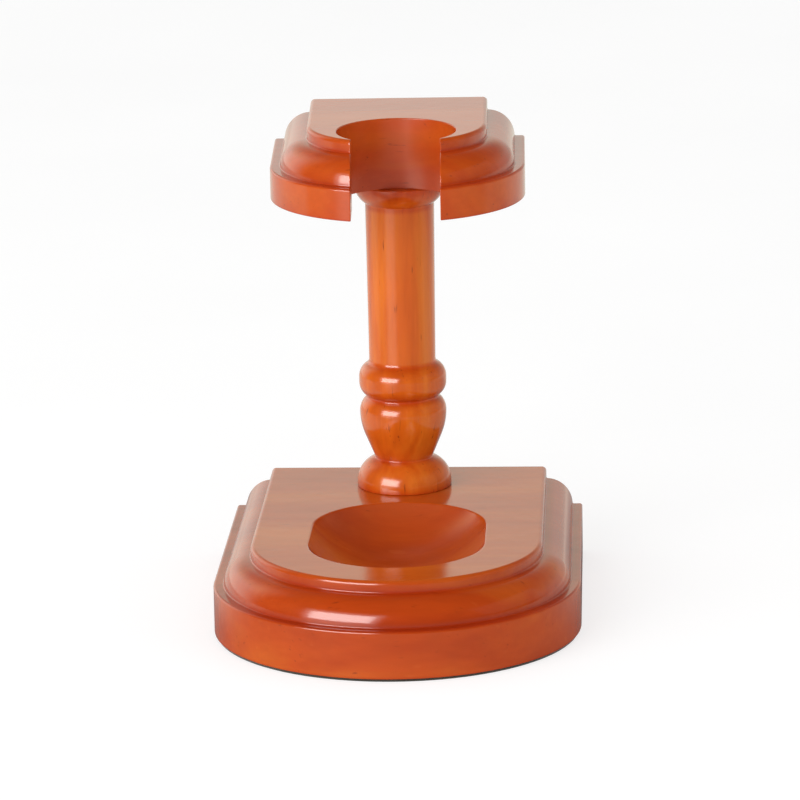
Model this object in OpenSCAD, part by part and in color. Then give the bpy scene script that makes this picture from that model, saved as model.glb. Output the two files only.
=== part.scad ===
/* [Base] */
// Widest part of the base, across its round front
base_w = 100; // [80:1:140]
// Depth of the base, front to back
base_d = 128; // [110:1:170]
// Thickness of the base board, without its felt
base_h = 24; // [22:0.5:32]
// Height of the plain band below the base's moulding
base_band_h = 13.1; // [9:0.1:13.5]
// Thickness of the felt under the base
felt_t = 0.8; // [0.6:0.1:2]
// How far the felt stays inside the base's edge
felt_inset = 0.6; // [0.3:0.1:3]

/* [Dish] */
// Half the dish's width at its rim
dish_r = 24; // [16:0.5:28]
// Straight length between the dish's two round ends
dish_straight = 18; // [8:1:30]
// Depth of the dish at its lowest point
dish_depth = 11.5; // [6:0.5:13]
// Dish's centre, from the base's flat back
dish_from_back = 71; // [66:0.5:76]

/* [Top plate] */
// Widest part of the top plate
plate_w = 70; // [60:1:90]
// Depth of the top plate, front to back
plate_d = 73; // [66:1:90]
// Thickness of the top plate
plate_h = 20; // [18:0.5:26]
// Height of the plain band below the plate's moulding
plate_band_h = 8.9; // [7:0.1:9.5]
// Radius of the round opening
hole_r = 16.3; // [10:0.1:20]
// Round opening's centre, from the plate's flat back
hole_from_back = 44.6; // [42:0.1:48]
// Width of the slot that runs from the opening out of the front
slot_w = 24.2; // [12:0.1:30]

/* [Column] */
// Height between the base and the top plate
column_h = 87; // [80:1:140]
// Column's axis, from the flat back of the stand
column_from_back = 18.5; // [16:0.5:22]
// Radius of the shaft just above its bead
shaft_low_r = 9.35; // [9:0.05:11]
// Radius of the shaft just under its capital
shaft_top_r = 9.7; // [9:0.05:11]
// Radius of the capital where it meets the plate
capital_r = 12.7; // [11:0.1:14]
// Radius of the column's foot
foot_r = 13.2; // [12.5:0.1:15]

/* [Moulding] */
// Flat step between the plain band and the quarter round
step_w = 2.8; // [2:0.1:4]
// Rounding of the plain band's upper edge
band_round_r = 0.7; // [0.5:0.1:1.8]
// Radius of the quarter round
ovolo_r = 7.5; // [5:0.1:7.5]
// Rounding of the uppermost edge
lip_round_r = 1.2; // [1:0.1:3]

/* [Hidden fixings] */
// Radius of the dowels
dowel_r = 2; // [1.5:0.1:2]
// Length of the dowels
dowel_l = 14; // [10:1:14]
// Each dowel's distance from the column's axis
dowel_offset = 6.2; // [5.8:0.1:6.4]
// Radius of both screws
screw_r = 2.25; // [1.75:0.05:2.25]
// Depth that each screw reaches into the column
screw_grip = 22; // [16:1:26]
// Depth that the upper screw reaches into the plate
screw_up = 13; // [10:1:15]
// Radius of the recess for the lower screw's head
recess_r = 6.5; // [6:0.1:8]
// Depth of that recess
recess_h = 6; // [5:0.5:8]
// Radius of the washer
washer_r = 5.5; // [5:0.1:5.8]
// Thickness of the washer
washer_t = 1; // [0.8:0.1:1.5]
// Radius of the lower screw's head
head_r = 4.2; // [3.8:0.1:4.6]
// Height of the lower screw's head
head_h = 3; // [2.4:0.1:3.4]
// Play around the lower screw and each dowel
play = 0.05; // [0.03:0.01:0.1]

/* [Hidden] */
$fn = 96;

past = 1;                                     // how far a cut runs past a face
stained_orange = [0.74, 0.33, 0.12];
back_y = base_d / 2;                          // flat back of the base and the plate
base_z = felt_t;                              // underside of the base board
base_top = base_z + base_h;
plate_z = base_top + column_h;
column_y = back_y - column_from_back;
hole_y = back_y - hole_from_back;
dish_y = back_y - dish_from_back;
dish_ball_r = (dish_r * dish_r + dish_depth * dish_depth) / (2 * dish_depth);
dish_ball_z = base_h - dish_depth + dish_ball_r;

// Heights and radii of the turning, above the base
neck_z = 8.3;                                 // groove between foot and vase
neck_r = 8;
foot_round_r = 7.2;
foot_round_z = 1.3;
vase_z = 21.7;                                // widest height of the vase
vase_r = 12.1;
vase_low_r = 18;                              // arc below the widest height
vase_low_drop = 7.2;                          // how far down that arc goes
vase_top_r = 5.1;                               // arc above the widest height
groove_z = 25.9;                              // groove between vase and bead
bead_z = 30.7;                                // middle of the bead
bead_r = 12.2;
bead_half_flat = 0.8;
bead_round_r = 4.3;
shaft_z = 35.6;                               // top of the bead
capital_round_r = 6.9;

// Section of a board's edge, from its centre line out to r: band, step, quarter round, lip
module edge_section(r, h, band_h) {
    lip_x = r - step_w - ovolo_r;
    square([r - band_round_r, band_h]);
    square([r, band_h - band_round_r]);
    translate([r - band_round_r, band_h - band_round_r]) circle(band_round_r);
    square([lip_x, h - lip_round_r]);
    square([lip_x - lip_round_r, h]);
    translate([lip_x - lip_round_r, h - lip_round_r]) circle(lip_round_r);
    intersection() {
        translate([lip_x, band_h]) circle(ovolo_r);
        translate([0, band_h / 2]) square([r, h]);
    }
}

// A board with a half-round front, straight sides, a flat back and a moulded edge.
// Its origin is the centre of the half round.
module moulded_board(w, d, h, band_h) {
    side_l = d - w / 2;
    rotate_extrude(angle = 180, start = 180) edge_section(w / 2, h, band_h);
    translate([0, side_l, 0])
        rotate([90, 0, 0])
            linear_extrude(side_l)
                for (m = [0, 1])
                    mirror([m, 0]) edge_section(w / 2, h, band_h);
}

// A bowl with two round ends, which cuts the dish into the base
module dish_cutter() {
    for (s = [-1, 1])
        translate([0, s * dish_straight / 2, 0]) sphere(dish_ball_r);
    translate([0, dish_straight / 2, 0])
        rotate([90, 0, 0]) cylinder(r = dish_ball_r, h = dish_straight);
}

// Two dowels side by side, or their holes when grow is above zero
module dowel_pair(length, grow) {
    for (s = [-1, 1])
        translate([s * dowel_offset, 0, 0])
            cylinder(r = dowel_r + grow, h = length);
}

module base_felt() {
    felt_r = base_w / 2 - felt_inset;
    side_l = base_d - base_w / 2 - felt_inset;
    color([0.12, 0.11, 0.09])
        translate([0, back_y - base_d + base_w / 2, 0])
            linear_extrude(felt_t) {
                circle(felt_r);
                translate([-felt_r, 0]) square([2 * felt_r, side_l]);
            }
}

module base_block() {
    color(stained_orange)
        translate([0, 0, base_z])
            difference() {
                translate([0, back_y - base_d + base_w / 2, 0])
                    moulded_board(base_w, base_d, base_h, base_band_h);
                translate([0, dish_y, dish_ball_z]) dish_cutter();
                translate([0, column_y, -past]) {
                    cylinder(r = screw_r + play, h = base_h + 2 * past);
                    cylinder(r = recess_r, h = recess_h + past);
                }
                translate([0, column_y, base_h - dowel_l / 2 - play])
                    dowel_pair(dowel_l, play);
            }
}

// Half section of the column, with its foot at the origin
module column_section() {
    vase_low_z = vase_z - vase_low_drop;
    vase_low_x = vase_r - vase_low_r + sqrt(pow(vase_low_r, 2) - pow(vase_low_drop, 2));
    // foot
    square([foot_r, foot_round_z]);
    intersection() {
        translate([foot_r - foot_round_r, foot_round_z]) circle(foot_round_r);
        square([foot_r, neck_z - 0.1]);
    }
    square([neck_r, neck_z + 0.2]);
    // vase
    polygon([[0, neck_z], [neck_r, neck_z], [vase_low_x, vase_low_z], [0, vase_low_z]]);
    intersection() {
        translate([vase_r - vase_low_r, vase_z]) circle(vase_low_r);
        translate([0, vase_low_z]) square([vase_r, vase_low_drop]);
    }
    intersection() {
        translate([vase_r - vase_top_r, vase_z]) circle(vase_top_r);
        translate([0, vase_z]) square([vase_r, groove_z - vase_z]);
    }
    square([vase_r - vase_top_r, groove_z]);
    // bead
    for (s = [-1, 1])
        intersection() {
            translate([bead_r - bead_round_r, bead_z + s * bead_half_flat]) circle(bead_round_r);
            translate([0, groove_z]) square([bead_r, shaft_z - groove_z]);
        }
    translate([0, bead_z - bead_half_flat]) square([bead_r, 2 * bead_half_flat]);
    // shaft
    polygon([[0, groove_z], [bead_r - bead_round_r, groove_z], [shaft_low_r, shaft_z],
             [shaft_top_r, column_h], [0, column_h]]);
    // capital
    intersection() {
        translate([capital_r - capital_round_r, column_h]) circle(capital_round_r);
        translate([0, column_h - capital_round_r]) square([capital_r, capital_round_r]);
    }
}

module column() {
    color(stained_orange)
        translate([0, column_y, base_top])
            difference() {
                rotate_extrude() column_section();
                translate([0, 0, -past]) cylinder(r = screw_r, h = screw_grip + past);
                translate([0, 0, column_h - screw_grip]) cylinder(r = screw_r, h = screw_grip + past);
                translate([0, 0, play - dowel_l / 2]) dowel_pair(dowel_l, play);
                translate([0, 0, column_h - dowel_l / 2 - play]) dowel_pair(dowel_l, play);
            }
}

module top_plate() {
    slot_l = plate_d - hole_from_back;
    color(stained_orange)
        difference() {
            translate([0, back_y - plate_d + plate_w / 2, plate_z])
                moulded_board(plate_w, plate_d, plate_h, plate_band_h);
            translate([0, hole_y, plate_z - past]) {
                cylinder(r = hole_r, h = plate_h + 2 * past);
                translate([-slot_w / 2, -slot_l - past, 0])
                    cube([slot_w, slot_l + past, plate_h + 2 * past]);
            }
            translate([0, column_y, plate_z - past]) cylinder(r = screw_r, h = screw_up + past);
            translate([0, column_y, plate_z + play - dowel_l / 2]) dowel_pair(dowel_l, play);
        }
}

module foot_screw() {
    screw_l = base_h - recess_h + screw_grip;
    color([0.75, 0.74, 0.7])
        translate([0, column_y, base_z + recess_h]) {
            translate([0, 0, -washer_t - head_h]) cylinder(r = head_r, h = head_h);
            translate([0, 0, -washer_t]) cylinder(r = screw_r, h = washer_t + screw_l - screw_r);
            translate([0, 0, screw_l - screw_r]) cylinder(r1 = screw_r, r2 = screw_r / 6, h = screw_r);
        }
}

module foot_washer() {
    color([0.78, 0.77, 0.74])
        translate([0, column_y, base_z + recess_h - washer_t])
            difference() {
                cylinder(r = washer_r, h = washer_t);
                translate([0, 0, -past]) cylinder(r = screw_r + play, h = washer_t + 2 * past);
            }
}

module foot_dowels() {
    color([0.87, 0.76, 0.58])
        translate([0, column_y, base_top - dowel_l / 2]) dowel_pair(dowel_l, 0);
}

// A headless screw with a point at each end
module head_screw() {
    tip_h = screw_r;
    color([0.75, 0.74, 0.7])
        translate([0, column_y, plate_z]) {
            translate([0, 0, tip_h - screw_grip])
                cylinder(r = screw_r, h = screw_grip + screw_up - 2 * tip_h);
            translate([0, 0, -screw_grip]) cylinder(r1 = screw_r / 6, r2 = screw_r, h = tip_h);
            translate([0, 0, screw_up - tip_h]) cylinder(r1 = screw_r, r2 = screw_r / 6, h = tip_h);
        }
}

module head_dowels() {
    color([0.87, 0.76, 0.58])
        translate([0, column_y, plate_z - dowel_l / 2]) dowel_pair(dowel_l, 0);
}

base_felt();
base_block();
column();
top_plate();
foot_screw();
foot_washer();
foot_dowels();
head_screw();
head_dowels();
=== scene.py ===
"""Razor stand: lacquered wooden pieces, hidden fixings, felt and a studio, built round the CAD frame."""

import logging
import math
from dataclasses import dataclass
from enum import Enum
from typing import Any, Sequence

import bmesh
import bpy
from mathutils import Matrix, Vector, noise


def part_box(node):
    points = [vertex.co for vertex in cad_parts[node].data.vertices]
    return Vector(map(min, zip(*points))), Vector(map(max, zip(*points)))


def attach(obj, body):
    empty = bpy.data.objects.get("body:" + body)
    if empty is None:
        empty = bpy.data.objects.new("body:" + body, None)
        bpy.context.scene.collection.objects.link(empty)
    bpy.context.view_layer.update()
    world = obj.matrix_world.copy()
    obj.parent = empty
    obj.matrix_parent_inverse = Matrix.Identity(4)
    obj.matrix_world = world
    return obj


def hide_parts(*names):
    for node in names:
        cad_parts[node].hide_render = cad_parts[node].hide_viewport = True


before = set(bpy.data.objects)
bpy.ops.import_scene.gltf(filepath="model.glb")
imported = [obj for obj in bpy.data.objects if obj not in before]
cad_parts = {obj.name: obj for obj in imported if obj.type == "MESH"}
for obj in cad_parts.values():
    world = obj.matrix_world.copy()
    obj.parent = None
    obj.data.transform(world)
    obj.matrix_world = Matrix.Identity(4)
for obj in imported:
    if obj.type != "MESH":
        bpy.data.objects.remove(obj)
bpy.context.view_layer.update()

LOG = logging.getLogger("razor_stand")
MM = 0.001

# Vertices nearer than this are one, and coordinates nearer than this are equal.
TINY = 1e-6
SAME_PLACE = 0.02 * MM
SAME_LEVEL = 0.005 * MM

# Edges that turn by more than this are rounded over.
SHARP_DEGREES = 32.0

# Two faces that turn by less than this, in radians, lie in one plane.
FLAT_ANGLE = 0.0005

# The base and its felt narrow this much on each side towards the back, and are turned this
# many degrees anticlockwise, seen from above.
BASE_DRAW = 0.9 * MM
BASE_TWIST = -0.44


class Grain(Enum):
    """Direction in which the fibres of a piece of wood run."""

    LEFT_RIGHT = (0.10, 1.0, 1.0)
    UPRIGHT = (1.0, 1.0, 0.10)


class Slot(Enum):
    """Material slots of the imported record."""

    BASE = "base_wood"
    COLUMN = "column_wood"
    PLATE = "plate_wood"
    DOWEL = "dowel_wood"
    STEEL = "screw_steel"
    FELT = "felt"


def linear(red: float, green: float, blue: float) -> tuple[float, float, float, float]:
    """Scene-linear colour of an everyday 0 to 255 colour.

    Args:
        red: Red, 0 to 255.
        green: Green, 0 to 255.
        blue: Blue, 0 to 255.

    Returns:
        Linear red, green and blue, and an alpha of one.
    """
    parts = []
    for value in (red, green, blue):
        share = value / 255.0
        parts.append(share / 12.92 if share <= 0.04045 else ((share + 0.055) / 1.055) ** 2.4)
    return (parts[0], parts[1], parts[2], 1.0)


def grey(level: float) -> tuple[float, float, float, float]:
    """Neutral colour of a scene-linear brightness."""
    return (level, level, level, 1.0)


class NodeBench:
    """Lays out the shader nodes of one material or of the world."""

    def __init__(self, tree: bpy.types.NodeTree) -> None:
        """Empties the node tree, ready for new nodes."""
        self.tree = tree
        tree.nodes.clear()

    def put(self, kind: str, feeds: dict[Any, Any] | None = None, **settings: Any) -> bpy.types.Node:
        """Adds a node.

        Args:
            kind: Blender's name of the node type.
            feeds: Value or source socket for each named or numbered input.
            **settings: Properties of the node itself.

        Returns:
            The new node.
        """
        node = self.tree.nodes.new(kind)
        for name, value in settings.items():
            setattr(node, name, value)
        for name, value in (feeds or {}).items():
            if isinstance(value, bpy.types.NodeSocket):
                self.tree.links.new(value, node.inputs[name])
            else:
                node.inputs[name].default_value = value
        return node

    def cloud(
        self, where: bpy.types.NodeSocket, scale: float, detail: float = 3.0, roughness: float = 0.5,
        distortion: float = 0.0,
    ) -> bpy.types.NodeSocket:
        """Noise value, 0 to 1, around one half.

        Args:
            where: Coordinates.
            scale: Features per metre.
            detail: Octaves.
            roughness: Weight of the finer octaves.
            distortion: How far the pattern is swirled.

        Returns:
            The noise value's socket.
        """
        feeds = {
            "Vector": where,
            "Scale": scale,
            "Detail": detail,
            "Roughness": roughness,
            "Distortion": distortion,
        }
        return self.put("ShaderNodeTexNoise", feeds).outputs[0]

    def place(self) -> bpy.types.NodeSocket:
        """The object's own coordinates, as a socket."""
        return self.put("ShaderNodeTexCoord").outputs["Object"]

    def parts(self, where: bpy.types.NodeSocket) -> tuple[bpy.types.NodeSocket, ...]:
        """The x, y and z of coordinates, as three sockets."""
        return tuple(self.put("ShaderNodeSeparateXYZ", {"Vector": where}).outputs)

    def vector(self, kind: str, first: Any, second: Any = (0.0, 0.0, 0.0)) -> Any:
        """One step of vector arithmetic, as its node's outputs."""
        return self.put("ShaderNodeVectorMath", {0: first, 1: second}, operation=kind).outputs

    def stretch(
        self, where: bpy.types.NodeSocket, scale: Sequence[float], shift: Sequence[float] = (0.0, 0.0, 0.0)
    ) -> bpy.types.NodeSocket:
        """Coordinates scaled along each axis and then moved.

        Args:
            where: Coordinates.
            scale: Factor along each axis.
            shift: Move along each axis.

        Returns:
            The new coordinates' socket.
        """
        feeds = {"Vector": where, "Location": tuple(shift), "Scale": tuple(scale)}
        return self.put("ShaderNodeMapping", feeds).outputs[0]

    def ramp(
        self, factor: bpy.types.NodeSocket, stops: Sequence[tuple[float, Sequence[float]]]
    ) -> bpy.types.NodeSocket:
        """Colour ramp.

        Args:
            factor: Socket that is looked up.
            stops: Place and colour of each stop, in order.

        Returns:
            The colour's socket.
        """
        node = self.put("ShaderNodeValToRGB", {"Fac": factor})
        elements = node.color_ramp.elements
        while len(elements) < len(stops):
            elements.new(1.0)
        for element, (place, colour) in zip(elements, stops):
            element.position = place
            element.color = tuple(colour)
        return node.outputs[0]

    def fade(
        self, value: bpy.types.NodeSocket, low: float, high: float, at_low: Any, at_high: Any
    ) -> bpy.types.NodeSocket:
        """Smooth change from one value to another while a third one rises.

        Args:
            value: Socket that is looked up.
            low: Value up to which the result is at_low.
            high: Value from which the result is at_high.
            at_low: First result, a number or a socket.
            at_high: Last result, a number or a socket.

        Returns:
            The result's socket.
        """
        feeds = {"Value": value, 1: low, 2: high, 3: at_low, 4: at_high}
        return self.put("ShaderNodeMapRange", feeds, interpolation_type="SMOOTHSTEP").outputs[0]

    def reckon(self, kind: str, first: Any, second: Any) -> bpy.types.NodeSocket:
        """Result of one arithmetic step on two values, as a socket."""
        return self.put("ShaderNodeMath", {0: first, 1: second}, operation=kind).outputs[0]

    def tint(self, mode: str, factor: Any, under: Any, over: Any) -> bpy.types.NodeSocket:
        """Lays one colour on another.

        Args:
            mode: Blender's name of the way they mix.
            factor: Share of the upper colour, a number or a socket.
            under: The lower colour, four numbers or a socket.
            over: The upper colour, four numbers or a socket.

        Returns:
            The mixed colour's socket.
        """
        feeds = {0: factor, 6: under, 7: over}
        return self.put("ShaderNodeMix", feeds, data_type="RGBA", blend_type=mode).outputs[2]

    def bump(self, height: bpy.types.NodeSocket, distance: float, strength: float) -> bpy.types.NodeSocket:
        """Normal tilted by a height pattern, as a socket."""
        feeds = {"Height": height, "Distance": distance, "Strength": strength}
        return self.put("ShaderNodeBump", feeds).outputs[0]

    def finish_surface(self, feeds: dict[str, Any]) -> None:
        """Joins a surface with the given feeds to the material's output."""
        surface = self.put("ShaderNodeBsdfPrincipled", feeds).outputs[0]
        self.put("ShaderNodeOutputMaterial", {"Surface": surface})


def new_bench(name: str) -> tuple[bpy.types.Material, NodeBench]:
    """Makes a material with an empty bench for its nodes.

    Args:
        name: Name of the material.

    Returns:
        The material and its bench.
    """
    material = bpy.data.materials.new(name)
    material.use_nodes = True
    return material, NodeBench(material.node_tree)


@dataclass(frozen=True)
class Hollow:
    """Where a board is hollowed out, and its stain, the shade painted with it, and its lacquer are less
    even.
    """

    middle: tuple[float, float]
    half_width: float
    half_depth: float
    top: float
    coat_roughness: float = 0.26
    # Share of the darker tint of stain and painted shade inside the hollow.
    stain_and_shade_share: float = 0.12
    rim: tuple[float, float] = (0.4 * MM, 0.1 * MM)

    def mask(self, bench: NodeBench, place: bpy.types.NodeSocket) -> bpy.types.NodeSocket:
        """Marks the hollow.

        Args:
            bench: Bench of the board's material.
            place: The board's coordinates.

        Returns:
            Socket of a value that is one inside the hollow and zero outside.
        """
        scale = (1.0 / self.half_width, 1.0 / self.half_depth, 0.0)
        shift = (-self.middle[0] * scale[0], -self.middle[1] * scale[1], 0.0)
        span = bench.vector("LENGTH", bench.stretch(place, scale, shift))["Value"]
        height = bench.parts(place)[2]
        return bench.reckon(
            "MULTIPLY",
            bench.fade(span, 1.0, 1.05, 1.0, 0.0),
            bench.fade(height, self.top - self.rim[0], self.top - self.rim[1], 1.0, 0.0),
        )


@dataclass(frozen=True)
class PooledStainAndShade:
    """Where the stain lies thicker, and where shade is painted into creases and along lower edges, as a
    share at each height in millimetres above low.
    """

    low: float
    high: float
    shares: tuple[tuple[float, float], ...]
    # Tint that the share lays on: darker, both for thicker stain and for painted shade.
    shade: tuple[float, float, float] = (0.80, 0.42, 0.60)

    def share(self, bench: NodeBench, place: bpy.types.NodeSocket) -> bpy.types.NodeSocket:
        """Looks the share up by height.

        Args:
            bench: Bench of the piece's material.
            place: The piece's coordinates.

        Returns:
            The share's socket.
        """
        tall = self.high - self.low
        along = bench.reckon("DIVIDE", bench.reckon("SUBTRACT", bench.parts(place)[2], self.low), tall)
        return bench.ramp(along, [(at * MM / tall, grey(share)) for at, share in self.shares])


@dataclass(frozen=True)
class StainedWood:
    """Close-grained wood, stained orange brown, under glossy lacquer.

    Each pattern's scale is its number of features per metre.
    """

    name: str
    grain: Grain
    deep: tuple[float, float, float]
    middle: tuple[float, float, float]
    pale: tuple[float, float, float]
    shift: tuple[float, float, float]
    # Darker tint by height: stain lying thicker, and painted shade in creases and along lower edges.
    stain_and_shade: PooledStainAndShade
    hollow: Hollow | None = None
    fleck_share: float = 0.5
    ray_share: float = 0.06
    coat_roughness: float = 0.125
    streaks: float = 42.0
    patches: float = 70.0
    fibres: float = 620.0
    pores: float = 1100.0
    pore_groups: float = 190.0
    rays: float = 520.0
    coat_waves: float = 210.0
    patch_tone: tuple[float, float, float, float] = (0.8, 0.55, 0.3, 1.0)
    fleck_tone: tuple[float, float, float] = (112, 44, 12)
    ray_tone: tuple[float, float, float] = (226, 128, 62)

    def stain(
        self, bench: NodeBench, place: bpy.types.NodeSocket, wood: bpy.types.NodeSocket
    ) -> bpy.types.NodeSocket:
        """Broad streaks and soft patches of the stain.

        Args:
            bench: Bench of the material.
            place: The piece's coordinates.
            wood: The same, drawn out along the fibres.

        Returns:
            The colour's socket.
        """
        streak = bench.cloud(wood, self.streaks, 3.0, 0.55, 0.6)
        tones = ((0.30, linear(*self.deep)), (0.50, linear(*self.middle)), (0.72, linear(*self.pale)))
        patch = bench.fade(bench.cloud(place, self.patches, 4.0, 0.6, 0.4), 0.3, 0.7, 0.0, 0.15)
        return bench.tint("SOFT_LIGHT", patch, bench.ramp(streak, tones), self.patch_tone)

    def flecks(
        self, bench: NodeBench, place: bpy.types.NodeSocket, wood: bpy.types.NodeSocket,
        colour: bpy.types.NodeSocket,
    ) -> bpy.types.NodeSocket:
        """Dark pores, in loose groups, and pale rays, laid on a colour.

        Args:
            bench: Bench of the material.
            place: The piece's coordinates.
            wood: The same, drawn out along the fibres.
            colour: The colour under them.

        Returns:
            The new colour's socket.
        """
        pore = bench.fade(bench.cloud(wood, self.pores, 2.0, 0.5), 0.64, 0.74, 0.0, self.fleck_share)
        group = bench.cloud(bench.stretch(place, (1.0, 1.0, 0.5)), self.pore_groups, 2.0, 0.5)
        fleck = bench.reckon("MULTIPLY", pore, bench.fade(group, 0.50, 0.60, 0.0, 1.0))
        colour = bench.tint("MIX", fleck, colour, linear(*self.fleck_tone))
        ray = bench.cloud(bench.stretch(wood, (3.0, 1.0, 1.0), (3.0, 1.0, 2.0)), self.rays, 1.0, 0.4, 0.3)
        share = bench.fade(ray, 0.68, 0.80, 0.0, self.ray_share)
        return bench.tint("MIX", share, colour, linear(*self.ray_tone))

    def material(self) -> bpy.types.Material:
        """The finish as a procedural material.

        Returns:
            The material.
        """
        material, bench = new_bench(self.name)
        place = bench.place()
        wood = bench.stretch(place, self.grain.value, self.shift)
        fibre = bench.cloud(wood, self.fibres, 5.0, 0.62)
        shade = bench.fade(fibre, 0.32, 0.68, 0.96, 1.02)
        shades = bench.put("ShaderNodeCombineColor", {0: shade, 1: shade, 2: shade}).outputs[0]
        colour = bench.tint("MULTIPLY", 1.0, self.stain(bench, place, wood), shades)
        colour = self.flecks(bench, place, wood, colour)
        # Share of that darker tint: partly real stain, partly painted crease and edge shade.
        share = self.stain_and_shade.share(bench, place)
        gloss: Any = self.coat_roughness
        if self.hollow is not None:
            inside = self.hollow.mask(bench, place)
            share = bench.fade(inside, 0.0, 1.0, share, self.hollow.stain_and_shade_share)
            gloss = bench.fade(inside, 0.0, 1.0, self.coat_roughness, self.hollow.coat_roughness)
        bench.finish_surface({
            "Base Color": bench.tint("MULTIPLY", share, colour, (*self.stain_and_shade.shade, 1.0)),
            "Roughness": bench.fade(fibre, 0.3, 0.7, 0.42, 0.52),
            "Normal": bench.bump(fibre, 0.04 * MM, 0.25),
            "Coat Normal": bench.bump(bench.cloud(place, self.coat_waves, 2.0, 0.4), 0.12 * MM, 0.22),
            "Specular IOR Level": 0.0,
            "Coat Weight": 1.0,
            "Coat Roughness": gloss,
            "Coat IOR": 1.5,
        })
        return material


@dataclass(frozen=True)
class BareDowel:
    """Plain beech of the hidden dowels."""

    name: str = "bare_beech"
    streaks: float = 1400.0
    dark: tuple[float, float, float] = (188, 148, 98)
    pale: tuple[float, float, float] = (226, 196, 150)

    def material(self) -> bpy.types.Material:
        """The finish as a procedural material.

        Returns:
            The material.
        """
        material, bench = new_bench(self.name)
        streak = bench.cloud(bench.stretch(bench.place(), (1.0, 1.0, 0.06)), self.streaks, 4.0, 0.6)
        bench.finish_surface({
            "Base Color": bench.ramp(streak, ((0.3, linear(*self.dark)), (0.7, linear(*self.pale)))),
            "Roughness": 0.62,
            "Normal": bench.bump(streak, 0.05 * MM, 0.5),
        })
        return material


@dataclass(frozen=True)
class ZincedSteel:
    """Zinc-plated steel of the hidden screws and the washer."""

    name: str = "zinced_steel"
    scratches: float = 900.0
    spangles: float = 380.0
    dark: tuple[float, float, float] = (158, 160, 160)
    pale: tuple[float, float, float] = (205, 204, 196)

    def material(self) -> bpy.types.Material:
        """The finish as a procedural material.

        Returns:
            The material.
        """
        material, bench = new_bench(self.name)
        place = bench.place()
        scratch = bench.cloud(bench.stretch(place, (1.0, 1.0, 4.0)), self.scratches, 4.0, 0.6)
        spangle = bench.cloud(place, self.spangles, 2.0, 0.5, 0.8)
        bench.finish_surface({
            "Base Color": bench.ramp(spangle, ((0.3, linear(*self.dark)), (0.7, linear(*self.pale)))),
            "Metallic": 1.0,
            "Roughness": bench.fade(scratch, 0.3, 0.7, 0.24, 0.42),
            "Normal": bench.bump(scratch, 0.03 * MM, 0.4),
        })
        return material


@dataclass(frozen=True)
class Felt:
    """Thin dark wool felt."""

    name: str = "dark_felt"
    fibres: float = 2600.0
    clumps: float = 240.0
    dark: tuple[float, float, float] = (22, 20, 16)
    pale: tuple[float, float, float] = (74, 68, 54)
    clump_tone: tuple[float, float, float, float] = (0.6, 0.6, 0.58, 1.0)

    def material(self) -> bpy.types.Material:
        """The finish as a procedural material.

        Returns:
            The material.
        """
        material, bench = new_bench(self.name)
        place = bench.place()
        fibre = bench.cloud(place, self.fibres, 5.0, 0.7, 1.5)
        colour = bench.ramp(fibre, ((0.25, linear(*self.dark)), (0.75, linear(*self.pale))))
        clump = bench.cloud(place, self.clumps, 3.0, 0.55)
        shade = bench.ramp(clump, ((0.3, self.clump_tone), (0.7, grey(1.0))))
        bench.finish_surface({
            "Base Color": bench.tint("MULTIPLY", 0.5, colour, shade),
            "Roughness": 0.95,
            "Specular IOR Level": 0.2,
            "Sheen Weight": 0.4,
            "Sheen Roughness": 0.5,
            "Normal": bench.bump(fibre, 0.2 * MM, 0.9),
        })
        return material


class Outline:
    """A chain of edges in the X-Z plane, drawn as a maker draws a moulding on card."""

    def __init__(self, mesh: bmesh.types.BMesh, x: float, z: float) -> None:
        """Puts the pencil down.

        Args:
            mesh: The mesh that is drawn in.
            x: Its place.
            z: Its place.
        """
        self.mesh = mesh
        self.tip = mesh.verts.new((x, 0.0, z))
        self.verts = [self.tip]

    def line(self, x: float, z: float) -> None:
        """Straight line from the pencil's place.

        Args:
            x: Its end.
            z: Its end.
        """
        grown = bmesh.ops.extrude_vert_indiv(self.mesh, verts=[self.tip])
        self.tip = grown["verts"][0]
        self.tip.co = Vector((x, 0.0, z))
        self.verts.append(self.tip)

    def arc(self, x: float, z: float, degrees: float, steps: int) -> None:
        """Arc from the pencil's place round x, z.

        Args:
            x: Centre.
            z: Centre.
            degrees: Angle turned, positive from +X towards +Z.
            steps: Number of chords.
        """
        for _ in range(steps):
            grown = bmesh.ops.spin(
                self.mesh, geom=[self.tip], cent=(x, 0.0, z), axis=(0.0, -1.0, 0.0),
                angle=math.radians(degrees) / steps, steps=1, use_merge=False, use_duplicate=False,
            )
            self.tip = [item for item in grown["geom_last"] if isinstance(item, bmesh.types.BMVert)][0]
            self.verts.append(self.tip)

    def edges(self) -> list[bmesh.types.BMEdge]:
        """Finds the chain's edges.

        Returns:
            The edges that join two of its vertices.
        """
        self.mesh.edges.ensure_lookup_table()
        chain = set(self.verts)
        return [edge for edge in self.mesh.edges if edge.verts[0] in chain and edge.verts[1] in chain]


def spin_round(
    mesh: bmesh.types.BMesh, geometry: Sequence[Any], centre: tuple[float, float], degrees: float, steps: int
) -> None:
    """Spins geometry round an upright axis.

    Args:
        mesh: The mesh worked on.
        geometry: Vertices and edges to spin.
        centre: The axis, x and y.
        degrees: Angle, positive anticlockwise from above.
        steps: Number of steps.
    """
    bmesh.ops.spin(
        mesh, geom=list(geometry), cent=(centre[0], centre[1], 0.0), axis=(0.0, 0.0, 1.0),
        angle=math.radians(degrees), steps=steps, use_merge=False, use_duplicate=False,
    )


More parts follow.
